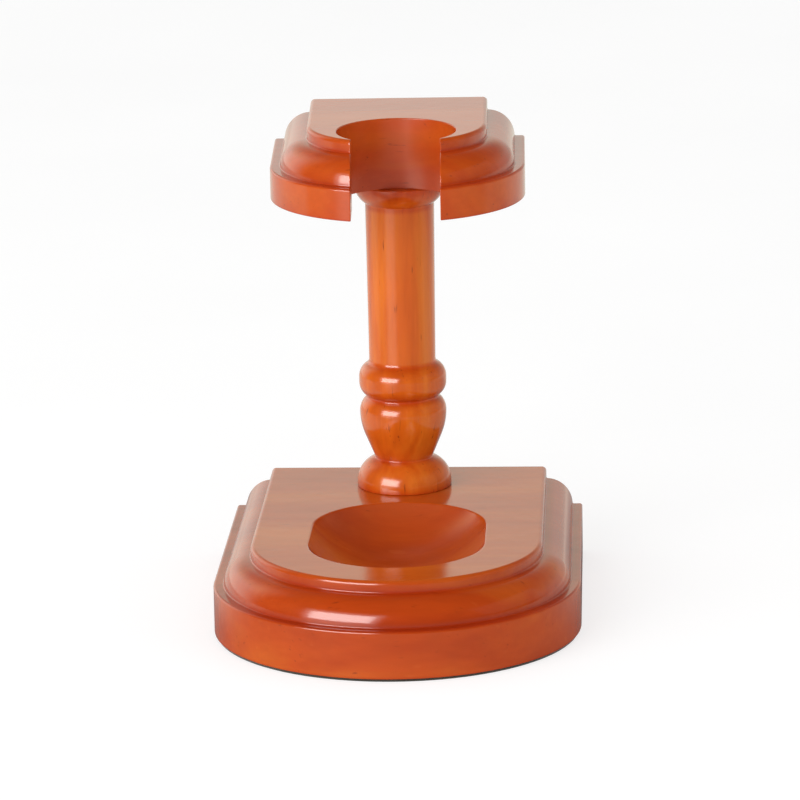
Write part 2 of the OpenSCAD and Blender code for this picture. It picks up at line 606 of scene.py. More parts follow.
def push(
    mesh: bmesh.types.BMesh, edges: Sequence[bmesh.types.BMEdge], way: Sequence[float], steps: int
) -> list[bmesh.types.BMEdge]:
    """Extrudes edges along way in equal steps.

    Args:
        mesh: The mesh worked on.
        edges: Edges to extrude.
        way: Whole move of the last edges.
        steps: Number of rows of faces.

    Returns:
        The edges at the far end.
    """
    last = list(edges)
    for _ in range(steps):
        grown = bmesh.ops.extrude_edge_only(mesh, edges=last)["geom"]
        moved = [item for item in grown if isinstance(item, bmesh.types.BMVert)]
        last = [item for item in grown if isinstance(item, bmesh.types.BMEdge)]
        bmesh.ops.translate(mesh, vec=Vector(way) / steps, verts=moved)
        lifted = set(moved)
        last = [edge for edge in last if edge.verts[0] in lifted and edge.verts[1] in lifted]
    return last


def nearest(mesh: bmesh.types.BMesh, place: Sequence[float]) -> bmesh.types.BMVert:
    """Vertex of the mesh nearest to a place."""
    target = Vector(place)
    return min(mesh.verts, key=lambda vert: (vert.co - target).length_squared)


def join(mesh: bmesh.types.BMesh, first: Sequence[float], second: Sequence[float]) -> None:
    """Makes an edge between two places, from the vertices there or from new ones.

    Args:
        mesh: The mesh worked on.
        first: One end.
        second: The other end.
    """
    ends = []
    for place in (first, second):
        vert = nearest(mesh, place)
        if (vert.co - Vector(place)).length > SAME_PLACE:
            vert = mesh.verts.new(Vector(place))
        ends.append(vert)
    if mesh.edges.get(ends) is None:
        mesh.edges.new(ends)


def cap(mesh: bmesh.types.BMesh, axis: int, level: float) -> None:
    """Fills the open outline that lies at a level of an axis with one flat face.

    Args:
        mesh: The mesh worked on.
        axis: 0, 1 or 2, for x, y or z.
        level: Where the outline lies on it.
    """
    rim = [
        edge for edge in mesh.edges
        if len(edge.link_faces) < 2 and all(abs(vert.co[axis] - level) < SAME_LEVEL for vert in edge.verts)
    ]
    bmesh.ops.contextual_create(mesh, geom=rim)


def mirror_half(mesh: bmesh.types.BMesh) -> None:
    """Mirrors the right half of a shape to the left and joins the two at x = 0.

    Args:
        mesh: The mesh worked on.
    """
    for vert in mesh.verts:
        if abs(vert.co.x) < SAME_LEVEL:
            vert.co.x = 0.0
    bmesh.ops.mirror(
        mesh, geom=mesh.verts[:] + mesh.edges[:] + mesh.faces[:], matrix=Matrix.Identity(4),
        merge_dist=TINY, axis="X",
    )
    bmesh.ops.remove_doubles(mesh, verts=mesh.verts[:], dist=TINY)


def drop_seams(mesh: bmesh.types.BMesh) -> None:
    """Dissolves edges on x = 0 between two many-cornered faces that lie in one plane.

    Args:
        mesh: The mesh worked on.
    """
    most_corners = 8
    seams = [
        edge for edge in mesh.edges
        if len(edge.link_faces) == 2
        and all(abs(vert.co.x) < TINY for vert in edge.verts)
        and edge.calc_face_angle(1.0) < FLAT_ANGLE
        and min(len(face.verts) for face in edge.link_faces) > most_corners
    ]
    for edge in seams:
        shared = set(edge.link_faces[0].edges) & set(edge.link_faces[1].edges)
        if len(shared) == 1:
            bmesh.ops.dissolve_edges(mesh, edges=[edge], use_verts=False)


def close_shell(mesh: bmesh.types.BMesh) -> None:
    """Merges doubles and turns every face outwards."""
    bmesh.ops.remove_doubles(mesh, verts=mesh.verts[:], dist=TINY)
    bmesh.ops.recalc_face_normals(mesh, faces=mesh.faces[:])


def to_object(mesh: bmesh.types.BMesh, name: str, material: bpy.types.Material) -> bpy.types.Object:
    """Turns a bmesh into a smooth-shaded object at the origin.

    Args:
        mesh: The shape, which is freed.
        name: Name of the piece.
        material: Its finish.

    Returns:
        The linked object.
    """
    data = bpy.data.meshes.new(name)
    for face in mesh.faces:
        face.smooth = True
    mesh.to_mesh(data)
    mesh.free()
    data.materials.append(material)
    piece = bpy.data.objects.new(name, data)
    bpy.context.scene.collection.objects.link(piece)
    return piece


def ease_edges(piece: bpy.types.Object, width: float) -> None:
    """Softens a piece's sharp edges and keeps its flat faces evenly lit.

    Args:
        piece: The object.
        width: Width of the softening.
    """
    bevel = piece.modifiers.new("eased_edges", "BEVEL")
    bevel.width = width
    bevel.segments = 3
    bevel.limit_method = "ANGLE"
    bevel.angle_limit = math.radians(SHARP_DEGREES)
    bevel.profile = 0.5
    bevel.use_clamp_overlap = True
    weighted = piece.modifiers.new("even_shading", "WEIGHTED_NORMAL")
    weighted.mode = "FACE_AREA"
    weighted.weight = 50
    weighted.keep_sharp = False


def place_piece(piece: bpy.types.Object, node: str) -> bpy.types.Object:
    """Puts a piece in a CAD node's place, on the stand's one body.

    Args:
        piece: The object.
        node: The CAD node that it stands for.

    Returns:
        The same object.
    """
    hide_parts(node)
    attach(piece, "root")
    return piece


def draw_sides_in(mesh: bmesh.types.BMesh, centre_y: float, back: float, share: float) -> None:
    """Draws straight sides in a little towards the back.

    Args:
        mesh: The mesh worked on.
        centre_y: Where the straight sides start.
        back: Where they end.
        share: Part of the half width that is lost at the back.
    """
    for vert in mesh.verts:
        along = max(0.0, (vert.co.y - centre_y) / (back - centre_y))
        vert.co.x *= 1.0 - share * along


def set_askew(mesh: bmesh.types.BMesh, centre_y: float, back: float, twist: float) -> None:
    """Turns a shape about its half round's centre and squeezes its back to stay in line.

    Args:
        mesh: The mesh worked on.
        centre_y: Where the half round's centre is.
        back: Where the flat back is.
        twist: Degrees anticlockwise, seen from above.
    """
    bmesh.ops.rotate(
        mesh, cent=(0.0, centre_y, 0.0), matrix=Matrix.Rotation(math.radians(twist), 3, "Z"),
        verts=mesh.verts[:],
    )
    reach = max(vert.co.y for vert in mesh.verts) - centre_y
    for vert in mesh.verts:
        if vert.co.y > centre_y:
            vert.co.y = centre_y + (vert.co.y - centre_y) * (back - centre_y) / reach


@dataclass
class MouldedBoard:
    """A board with a half-round front, a flat back and a moulded upper edge."""

    node: str
    band_h: float
    step_w: float = 2.8 * MM
    band_round: float = 0.7 * MM
    ovolo: float = 7.5 * MM
    lip_round: float = 1.2 * MM
    step_cove: float = 0.4 * MM
    lip_cove: float = 0.5 * MM
    turn_steps: int = 48
    side_steps: int = 6
    side_draw: float = BASE_DRAW
    edge_ease: float = 0.3 * MM

    def __post_init__(self) -> None:
        """Takes the board's place and size from its CAD node."""
        low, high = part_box(self.node)
        self.low_z = low.z
        self.high_z = high.z
        self.back = high.y
        self.radius = (high.x - low.x) / 2.0
        self.centre_y = low.y + self.radius
        self.side_l = self.back - self.centre_y
        self.lip_x = self.radius - self.step_w - self.ovolo
        self.top_x = self.lip_x - self.lip_round

    def draw_edge(self, mesh: bmesh.types.BMesh) -> Outline:
        """Draws the moulding's section on the board's right side, where the half round ends.

        Args:
            mesh: The mesh worked on.

        Returns:
            The section.
        """
        band_z = self.low_z + self.band_h
        step_x = self.lip_x + math.sqrt((self.ovolo + self.step_cove) ** 2 - self.step_cove**2)
        step_angle = math.degrees(math.asin(self.step_cove / (self.ovolo + self.step_cove)))
        lip_z = band_z + math.sqrt((self.ovolo + self.lip_cove) ** 2 - self.lip_cove**2)
        lip_angle = math.degrees(math.asin(self.lip_cove / (self.ovolo + self.lip_cove)))
        card = Outline(mesh, self.radius, self.low_z)
        card.line(self.radius, band_z - self.band_round)
        card.arc(self.radius - self.band_round, band_z - self.band_round, 90.0, 6)
        card.line(step_x, band_z)
        card.arc(step_x, band_z + self.step_cove, step_angle - 90.0, 5)
        card.arc(self.lip_x, band_z, 90.0 - step_angle - lip_angle, 14)
        card.arc(self.lip_x + self.lip_cove, lip_z, lip_angle - 90.0, 6)
        card.line(self.lip_x, self.high_z - self.lip_round)
        card.arc(self.top_x, self.high_z - self.lip_round, 90.0, 8)
        bmesh.ops.translate(mesh, vec=Vector((0.0, self.centre_y, 0.0)), verts=card.verts)
        return card

    def wrap(self, mesh: bmesh.types.BMesh) -> None:
        """Runs the moulding round the right half of the front and along the side to the back.

        Args:
            mesh: The mesh worked on.
        """
        card = self.draw_edge(mesh)
        edges = card.edges()
        spin_round(mesh, card.verts + edges, (0.0, self.centre_y), -90.0, self.turn_steps)
        push(mesh, edges, (0.0, self.side_l, 0.0), self.side_steps)

    def close_half(self, mesh: bmesh.types.BMesh) -> None:
        """Closes the back of the right half, draws its side in and mirrors it into a shell.

        Args:
            mesh: The mesh worked on.
        """
        cap(mesh, 1, self.back)
        draw_sides_in(mesh, self.centre_y, self.back, self.side_draw / self.radius)
        mirror_half(mesh)
        drop_seams(mesh)
        close_shell(mesh)


@dataclass
class BaseBoard(MouldedBoard):
    """The base: a moulded board with an oval dish in its top."""

    dish_half_l: float = 9.0 * MM
    dish_r: float = 24.0 * MM
    dish_depth: float = 11.5 * MM
    dish_from_back: float = 71.0 * MM
    rim_round: float = 0.8 * MM
    stain_margin: float = 0.6 * MM

    def finish(self) -> StainedWood:
        """The base's wood, with stain lying thicker and shade painted along its moulding and bottom edge,
        darkest in its creases, and an uneven dish.

        Returns:
            The finish.
        """
        # Share of the darker tint at each height in millimetres: stain lying thicker, with painted shade in
        # the creases and along the lower edge.
        heights = (
            (0.0, 0.5), (0.8, 0.0), (12.5, 0.0), (13.1, 0.9), (14.2, 0.5), (17.0, 0.35), (20.0, 0.45),
            (20.9, 0.9), (21.8, 0.4), (23.6, 0.3), (24.0, 0.0),
        )
        half_width = self.dish_r + self.stain_margin
        dish_y = self.back - self.dish_from_back
        return StainedWood(
            "base_stained_wood", Grain.LEFT_RIGHT, (160, 56, 12), (174, 68, 16), (188, 90, 25),
            shift=(0.31, 0.12, 0.05),
            stain_and_shade=PooledStainAndShade(self.low_z, self.high_z, heights),
            hollow=Hollow((0.0, dish_y), half_width, half_width + self.dish_half_l, self.high_z),
        )

    def sink_dish(self, mesh: bmesh.types.BMesh) -> float:
        """Makes the right half of the dish, with its softened rim.

        Args:
            mesh: The mesh worked on.

        Returns:
            Half the rim's width.
        """
        dish_y = self.back - self.dish_from_back
        ball = (self.dish_r**2 + self.dish_depth**2) / (2.0 * self.dish_depth)
        ball_z = self.high_z - self.dish_depth + ball
        rise = ball_z - (self.high_z - self.rim_round)
        rim_x = math.sqrt((ball + self.rim_round) ** 2 - rise**2)
        slope = math.degrees(math.atan2(rim_x, rise))
        card = Outline(mesh, 0.0, self.high_z - self.dish_depth)
        card.arc(0.0, ball_z, slope, 22)
        card.arc(rim_x, self.high_z - self.rim_round, -slope, 5)
        bmesh.ops.translate(mesh, vec=Vector((0.0, dish_y - self.dish_half_l, 0.0)), verts=card.verts)
        edges = card.edges()
        spin_round(mesh, card.verts + edges, (0.0, dish_y - self.dish_half_l), -90.0, 36)
        far = push(mesh, edges, (0.0, 2.0 * self.dish_half_l, 0.0), 2)
        ends = list({vert for edge in far for vert in edge.verts})
        spin_round(mesh, ends + far, (0.0, dish_y + self.dish_half_l), 90.0, 36)
        bmesh.ops.remove_doubles(mesh, verts=mesh.verts[:], dist=TINY)
        return rim_x

    def build(self) -> bpy.types.Object:
        """Builds the base board.

        Returns:
            The piece.
        """
        mesh = bmesh.new()
        self.wrap(mesh)
        rim_x = self.sink_dish(mesh)
        dish_y = self.back - self.dish_from_back
        reach = self.dish_half_l + rim_x
        front = self.centre_y - self.radius
        top, bottom = self.high_z, self.low_z
        join(mesh, (0.0, self.centre_y - self.top_x, top), (0.0, dish_y - reach, top))
        join(mesh, (0.0, dish_y + reach, top), (0.0, self.back, top))
        join(mesh, (0.0, self.back, top), (self.top_x, self.back, top))
        join(mesh, (0.0, self.back, top), (0.0, self.back, bottom))
        join(mesh, (0.0, self.back, bottom), (self.radius, self.back, bottom))
        join(mesh, (0.0, self.back, bottom), (0.0, front, bottom))
        cap(mesh, 2, top)
        cap(mesh, 2, bottom)
        self.close_half(mesh)
        set_askew(mesh, self.centre_y, self.back, BASE_TWIST)
        piece = to_object(mesh, "stand_base", self.finish().material())
        ease_edges(piece, self.edge_ease)
        return place_piece(piece, self.node)


@dataclass
class TopPlate(MouldedBoard):
    """The top plate: a moulded board with a round opening and a slot to the front."""

    hole_r: float = 16.3 * MM
    hole_from_back: float = 44.6 * MM
    slot_half: float = 12.1 * MM
    twist: float = 1.13
    twist_from_back: float = 18.5 * MM
    stain_margin: float = 0.9 * MM

    def finish(self) -> StainedWood:
        """The plate's wood, with stain lying thicker and shade painted along its moulding and bottom edge,
        darkest in its creases, and an uneven opening.

        Returns:
            The finish.
        """
        # Share of the darker tint at each height in millimetres: stain lying thicker, with painted shade in
        # the creases and along the lower edge.
        heights = (
            (0.0, 0.8), (0.5, 0.1), (1.2, 0.0), (8.2, 0.0), (8.9, 0.9), (10.0, 0.45), (12.5, 0.25),
            (15.8, 0.5), (16.7, 0.9), (17.6, 0.4), (19.5, 0.3), (20.0, 0.0),
        )
        half_width = self.hole_r + self.stain_margin
        hole_y = self.back - self.hole_from_back
        return StainedWood(
            "plate_stained_wood", Grain.LEFT_RIGHT, (164, 55, 12), (178, 67, 16), (192, 87, 24),
            shift=(0.77, 0.40, 0.21),
            stain_and_shade=PooledStainAndShade(self.low_z, self.high_z, heights),
            hollow=Hollow((0.0, hole_y), half_width, half_width, self.high_z),
        )

    def open_slot(self, mesh: bmesh.types.BMesh) -> None:
        """Swings the front of the moulding sideways until it ends on the slot's wall.

        Args:
            mesh: The mesh worked on.
        """
        quarter = math.pi / 2.0
        for vert in mesh.verts:
            if vert.co.y > self.centre_y + TINY:
                continue
            reach = math.hypot(vert.co.x, vert.co.y - self.centre_y)
            turn = math.atan2(vert.co.x, self.centre_y - vert.co.y)
            start = math.asin(self.slot_half / reach)
            swung = start + turn * (quarter - start) / quarter
            vert.co.x = reach * math.sin(swung)
            vert.co.y = self.centre_y - reach * math.cos(swung)

    def turn_a_little(self, mesh: bmesh.types.BMesh) -> None:
        """Turns the plate slightly on its column, as it was glued, and keeps its back in line.

        Args:
            mesh: The mesh worked on.
        """
        bmesh.ops.rotate(
            mesh, cent=(0.0, self.back - self.twist_from_back, 0.0),
            matrix=Matrix.Rotation(math.radians(self.twist), 3, "Z"), verts=mesh.verts[:],
        )
        past = max(vert.co.y for vert in mesh.verts) - self.back
        bmesh.ops.translate(mesh, vec=Vector((0.0, -past, 0.0)), verts=mesh.verts[:])

    def build(self) -> bpy.types.Object:
        """Builds the top plate.

        Returns:
            The piece.
        """
        mesh = bmesh.new()
        self.wrap(mesh)
        self.open_slot(mesh)
        top, bottom = self.high_z, self.low_z
        hole_y = self.back - self.hole_from_back
        corner = math.asin(self.slot_half / self.hole_r)
        corner_y = hole_y - self.hole_r * math.cos(corner)
        wall = Outline(mesh, self.slot_half, bottom)
        wall.line(self.slot_half, top)
        bmesh.ops.translate(mesh, vec=Vector((0.0, corner_y, 0.0)), verts=wall.verts)
        spin_round(mesh, wall.verts + wall.edges(), (0.0, hole_y), 180.0 - math.degrees(corner), 60)
        outer_y = self.centre_y - math.sqrt(self.radius**2 - self.slot_half**2)
        inner_y = self.centre_y - math.sqrt(self.top_x**2 - self.slot_half**2)
        hole_back = hole_y + self.hole_r
        join(mesh, (self.slot_half, inner_y, top), (self.slot_half, corner_y, top))
        join(mesh, (self.slot_half, outer_y, bottom), (self.slot_half, corner_y, bottom))
        join(mesh, (0.0, hole_back, top), (0.0, self.back, top))
        join(mesh, (0.0, hole_back, bottom), (0.0, self.back, bottom))
        join(mesh, (0.0, self.back, top), (self.top_x, self.back, top))
        join(mesh, (0.0, self.back, bottom), (self.radius, self.back, bottom))
        join(mesh, (0.0, self.back, top), (0.0, self.back, bottom))
        cap(mesh, 2, top)
        cap(mesh, 2, bottom)
        cap(mesh, 0, self.slot_half)
        self.close_half(mesh)
        self.turn_a_little(mesh)
        piece = to_object(mesh, "stand_top_plate", self.finish().material())
        ease_edges(piece, self.edge_ease)
        return place_piece(piece, self.node)


@dataclass(frozen=True)
class Round:
    """A round of the turning, as a circle in its section."""

    x: float
    z: float
    r: float

    def angle_to(self, other: "Round") -> float:
        """Direction of another circle's centre, in degrees from +X towards +Z."""
        return math.degrees(math.atan2(other.z - self.z, other.x - self.x))


def cove(lower: Round, upper: Round, radius: float) -> Round:
    """Circle in the crease between two rounds that touches both from outside.

    Args:
        lower: The round below the crease.
        upper: The round above it.
        radius: Radius of the cove.

    Returns:
        The cove's circle.
    """
    to_lower = lower.r + radius
    to_upper = upper.r + radius
    across, rise = upper.x - lower.x, upper.z - lower.z
    gap = math.hypot(across, rise)
    along = (to_lower**2 - to_upper**2 + gap**2) / (2.0 * gap)
    out = math.sqrt(to_lower**2 - along**2)
    return Round(
        lower.x + (across * along + rise * out) / gap,
        lower.z + (rise * along - across * out) / gap,
        radius,
    )


@dataclass
class Column:
    """The turned column: foot, vase, bead, shaft and capital.

    Its section is in millimetres, from the axis and from the underside of the foot.
    """

    node: str = "column"
    around: int = 160
    foot_r: float = 13.2
    foot_ease: float = 0.3
    foot_round: Round = Round(6.0, 1.3, 7.2)
    vase_line_low: tuple[float, float] = (8.0, 8.3)
    vase_low: Round = Round(-5.9, 21.7, 18.0)
    vase_line_high: tuple[float, float] = (10.597, 14.5)
    vase_top: Round = Round(7.0, 21.7, 5.1)
    bead_low: Round = Round(7.9, 29.9, 4.3)
    bead_top: Round = Round(7.9, 31.5, 4.3)
    capital: Round = Round(5.8, 87.0, 6.9)
    shaft_low: tuple[float, float] = (9.35, 35.6)
    shaft_top: tuple[float, float] = (9.7, 87.0)
    long_r: float = 4000.0
    foot_cove_r: float = 0.5
    neck_cove_r: float = 0.6
    bead_cove_r: float = 1.7
    capital_cove_r: float = 0.35

    def __post_init__(self) -> None:
        """Takes the column's place and height from its CAD node."""
        low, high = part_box(self.node)
        self.low_z = low.z
        self.axis_y = (low.y + high.y) / 2.0
        self.height = (high.z - low.z) / MM

    def finish(self) -> StainedWood:
        """The column's wood, with stain lying thicker and shade painted in its creases, along the foot's
        lower rim and at the capital under the plate.

        Returns:
            The finish.
        """
        # Share of the darker tint at each height in millimetres: stain lying thicker, with painted shade in
        # the coves, at the foot's rim and under the plate.
        heights = (
            (0.0, 1.0), (1.2, 0.55), (2.5, 0.25), (5.0, 0.15), (7.6, 0.45), (8.3, 0.95), (9.4, 0.4),
            (13.0, 0.10), (21.0, 0.0), (24.6, 0.25), (25.9, 1.0), (27.2, 0.6), (29.0, 0.2), (32.5, 0.15),
            (34.8, 0.5), (35.8, 0.8), (36.8, 0.05), (60.0, 0.0), (79.4, 0.1), (80.4, 0.75), (83.0, 0.5),
            (86.0, 0.9),
        )
        return StainedWood(
            "column_stained_wood", Grain.UPRIGHT, (188, 81, 17), (202, 95, 20), (212, 113, 30),
            shift=(0.13, 0.05, 0.44),
            stain_and_shade=PooledStainAndShade(self.low_z, self.low_z + self.height * MM, heights),
            fleck_share=0.7, ray_share=0.10, coat_roughness=0.15, streaks=150.0,
        )

    def straight(self, low: tuple[float, float], high: tuple[float, float]) -> Round:
        """A straight stretch of the section, as a circle so large that it is straight.

        Args:
            low: Lower end, x and z.
            high: Upper end, x and z.

        Returns:
            The circle.
        """
        run, rise = high[0] - low[0], high[1] - low[1]
        size = math.hypot(run, rise)
        middle = ((low[0] + high[0]) / 2.0, (low[1] + high[1]) / 2.0)
        return Round(
            middle[0] - self.long_r * rise / size, middle[1] + self.long_r * run / size, self.long_r
        )

    def meet(self, card: Outline, line: Round, hollow: Round) -> None:
        """Draws a straight line to the point where a long stretch meets a cove."""
        angle = math.radians(line.angle_to(hollow))
        card.line(line.x + line.r * math.cos(angle), line.z + line.r * math.sin(angle))

    def draw(self, mesh: bmesh.types.BMesh) -> Outline:
        """Draws half the column's section, with a small cove in each crease.

        Args:
            mesh: The mesh worked on.

        Returns:
            The section.
        """
        shaft = self.straight(self.shaft_low, self.shaft_top)
        flank = self.straight(self.vase_line_low, self.vase_line_high)
        foot_cove = cove(self.foot_round, flank, self.foot_cove_r)
        neck_cove = cove(self.vase_top, self.bead_low, self.neck_cove_r)
        bead_cove = cove(self.bead_top, shaft, self.bead_cove_r)
        capital_cove = cove(shaft, self.capital, self.capital_cove_r)
        card = Outline(mesh, 0.0, 0.0)
        card.line(self.foot_r - self.foot_ease, 0.0)
        card.arc(self.foot_r - self.foot_ease, self.foot_ease, 90.0, 3)
        card.line(self.foot_r, self.foot_round.z)
        self.round_to_cove(card, self.foot_round, foot_cove, flank, 14)
        card.line(*self.vase_line_high)
        self.rise(card, self.vase_low, Round(*self.vase_line_high, 0.0), 8)
        self.round_to_cove(card, self.vase_top, neck_cove, self.bead_low, 12)
        self.rise(card, self.bead_low, neck_cove, 12)
        card.line(self.bead_top.x + self.bead_top.r, self.bead_top.z)
        self.round_to_cove(card, self.bead_top, bead_cove, shaft, 12)
        self.meet(card, shaft, capital_cove)
        turn = self.capital.angle_to(capital_cove) + 180.0 - capital_cove.angle_to(shaft)
        card.arc(capital_cove.x, capital_cove.z, self.wrapped(turn), 5)
        self.rise(card, self.capital, capital_cove, 12)
        card.line(self.capital.x + self.capital.r, self.height)
        card.line(0.0, self.height)
        return card

    @staticmethod
    def wrapped(degrees: float) -> float:
        """The same turn, clockwise, between minus a full turn and nought."""
        return -((-degrees) % 360.0)

    @staticmethod
    def rise(card: Outline, ball: Round, below: Round, steps: int) -> None:
        """Draws a round from the place where it meets what is below it to its widest point."""
        card.arc(ball.x, ball.z, -ball.angle_to(below), steps)

    def round_to_cove(
        self, card: Outline, ball: Round, hollow: Round, after: Round, steps: int
    ) -> None:
        """Draws a round from its widest point up to its cove, and then the cove.

        Args:
            card: The outline.
            ball: The round.
            hollow: The cove above it.
            after: The round above the cove.
            steps: Chords of the round.
        """
        up = ball.angle_to(hollow)
        card.arc(ball.x, ball.z, up, steps)
        turn = hollow.angle_to(after) - (up + 180.0)
        card.arc(hollow.x, hollow.z, self.wrapped(turn), 6)

    def build(self) -> bpy.types.Object:
        """Builds the turned column.

        Returns:
            The piece.
        """
        mesh = bmesh.new()
        card = self.draw(mesh)
        bmesh.ops.spin(
            mesh, geom=card.verts + card.edges(), cent=(0.0, 0.0, 0.0), axis=(0.0, 0.0, 1.0),
            angle=2.0 * math.pi, steps=self.around, use_merge=True, use_duplicate=False,
        )
        bmesh.ops.scale(mesh, vec=Vector((MM, MM, MM)), verts=mesh.verts[:])
        bmesh.ops.translate(mesh, vec=Vector((0.0, self.axis_y, self.low_z)), verts=mesh.verts[:])
        close_shell(mesh)
        piece = to_object(mesh, "stand_column", self.finish().material())
        return place_piece(piece, self.node)


@dataclass
class FeltPad:
    """The thin felt under the base."""

    node: str = "base_felt"
    edge_waver: float = 0.05 * MM
    wavers: float = 900.0
    edge_round: float = 0.15 * MM
    turn_steps: int = 90
    side_cuts: int = 40

    def draw(
        self, mesh: bmesh.types.BMesh, radius: float, centre_y: float, back: float, level: float
    ) -> None:
        """Draws the sheet's outline, with its straight stretches cut into short edges.

        Args:
            mesh: The mesh worked on.
            radius: Radius of the half round.
            centre_y: Where the half round's centre is.
            back: Where the straight back is.
            level: Height of the outline.
        """
        corner = mesh.verts.new((radius, back, level))
        side = bmesh.ops.extrude_vert_indiv(mesh, verts=[corner])["verts"][0]
        side.co.y = centre_y
        spin_round(mesh, [side], (0.0, centre_y), -180.0, self.turn_steps)
        end = nearest(mesh, (-radius, centre_y, level))
        far = bmesh.ops.extrude_vert_indiv(mesh, verts=[end])["verts"][0]
        far.co.y = corner.co.y
        mesh.edges.new((far, corner))
        straight = [edge for edge in mesh.edges if edge.calc_length() > radius / 2.0]
        bmesh.ops.subdivide_edges(mesh, edges=straight, cuts=self.side_cuts)

    def build(self) -> bpy.types.Object:
        """Builds the felt as one cut sheet with softened edges.

        Returns:
            The piece.
        """
        low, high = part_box(self.node)
        radius = (high.x - low.x) / 2.0 - self.edge_waver
        centre_y = low.y + self.edge_waver + radius
        back = high.y - self.edge_waver
        mesh = bmesh.new()
        self.draw(mesh, radius, centre_y, back, low.z)
        outline = bmesh.ops.contextual_create(mesh, geom=mesh.edges[:])["faces"]
        grown = bmesh.ops.extrude_face_region(mesh, geom=outline)["geom"]
        lifted = [item for item in grown if isinstance(item, bmesh.types.BMVert)]
        bmesh.ops.translate(mesh, vec=Vector((0.0, 0.0, high.z - low.z)), verts=lifted)
        rim = [edge for edge in mesh.edges if edge.calc_face_angle(0.0) > math.radians(SHARP_DEGREES)]
        rim = [edge for edge in rim if abs(edge.verts[0].co.z - edge.verts[1].co.z) < TINY]
        bmesh.ops.bevel(
            mesh, geom=rim, offset=self.edge_round, affect="EDGES", segments=2, profile=0.5,
            material=-1, clamp_overlap=True,
        )
        for vert in mesh.verts:
            pull = noise.noise(vert.co * self.wavers) * self.edge_waver
            vert.co += Vector((vert.co.x, vert.co.y - centre_y, 0.0)).normalized() * pull
        draw_sides_in(mesh, centre_y, high.y, BASE_DRAW / radius)
        close_shell(mesh)
        set_askew(mesh, centre_y, back, BASE_TWIST)
        piece = to_object(mesh, "stand_felt", Felt().material())
        place_piece(piece, self.node)
        return piece


@dataclass
class Fixings:
    """The screws, washer and dowels inside the stand, which keep their CAD shapes."""

    steel_nodes: tuple[str, ...] = ("foot_screw", "foot_washer", "head_screw")
    dowel_nodes: tuple[str, ...] = ("foot_dowels", "head_dowels")

    def build(self) -> list[bpy.types.Object]:
        """Gives the hidden fixings their finishes.

        Returns:
            The dressed pieces.
        """
        steel = ZincedSteel().material()
        beech = BareDowel().material()
        dressed = []
        for names, material in ((self.steel_nodes, steel), (self.dowel_nodes, beech)):
            for name in names:
                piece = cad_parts[name]
                for holder in piece.material_slots:
                    holder.material = material
                dressed.append(piece)
        return dressed


class LightUse(Enum):
    """What a light does."""

    LIT_ONLY = "lit only"
    MIRRORED_ONLY = "mirrored only"


